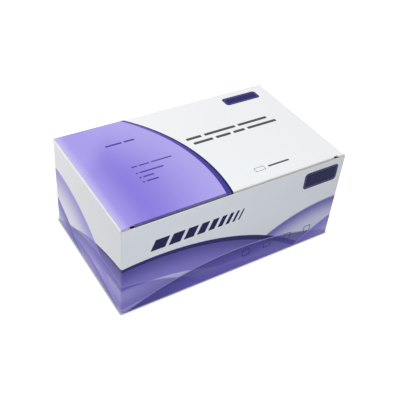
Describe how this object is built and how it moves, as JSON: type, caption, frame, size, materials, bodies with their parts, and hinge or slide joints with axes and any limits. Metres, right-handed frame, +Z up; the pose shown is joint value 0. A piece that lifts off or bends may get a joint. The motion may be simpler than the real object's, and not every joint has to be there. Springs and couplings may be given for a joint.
{
  "type": "folding carton",
  "caption": "Closed rectangular paperboard folding carton with a hinged tuck lid, slit-lock ears, dust flaps and a snap-lock bottom, for holding small packed goods.",
  "frame": {"origin": "on the table, under the middle of the carton's outside box", "axes": "+X along the front wall to its right end seen from the front, +Y from the front wall to the back wall where the lid is hinged, +Z up"},
  "size_m": [0.2, 0.12, 0.085],
  "materials": {
    "carton_board": "satin",
    "lid_board": "satin"
  },
  "bodies": {
    "carton": {"carton": "carton_board"},
    "lid": {"lid": "lid_board"}
  },
  "joints": [
    {"name": "lid_hinge", "type": "hinge", "parent": "carton", "child": "lid", "pos_m": [0, 0.05925, 0.08425], "axis": [-1, 0, 0], "range_deg": [0, 180]}
  ]
}
